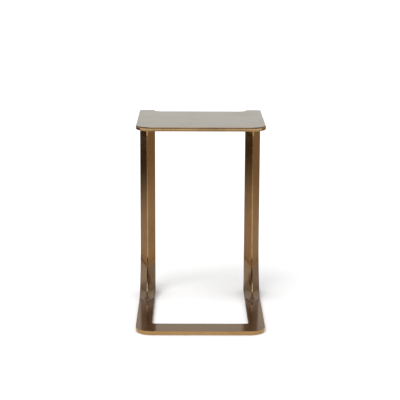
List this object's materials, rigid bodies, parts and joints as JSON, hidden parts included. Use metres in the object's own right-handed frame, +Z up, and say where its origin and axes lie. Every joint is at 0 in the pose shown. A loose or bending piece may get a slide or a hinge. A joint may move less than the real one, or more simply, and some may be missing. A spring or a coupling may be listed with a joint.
{
  "type": "side table",
  "caption": "C-shaped metal side table: plate top carried at the back by ridged legs that sweep out into a flat open base frame.",
  "frame": {"origin": "on the floor, under the middle of the table's bounding box", "axes": "+Z up, +Y towards the legs at the back, -Y towards the open front, +X to the right seen from the front"},
  "size_m": [0.4064, 0.508, 0.6365],
  "materials": {
    "antique_bronze": "cast aluminium with a satin antique bronze finish under clear lacquer",
    "screw_steel": "zinc plated steel",
    "glide_rubber": "matt dark rubber"
  },
  "bodies": {
    "root": {"top_plate": "antique_bronze", "leg_left": "antique_bronze", "leg_right": "antique_bronze", "base_frame": "antique_bronze", "leg_screws": "screw_steel", "glide_front_left": "glide_rubber", "glide_front_right": "glide_rubber", "glide_middle_left": "glide_rubber", "glide_middle_right": "glide_rubber", "glide_rear_left": "glide_rubber", "glide_rear_right": "glide_rubber"}
  },
  "joints": []
}
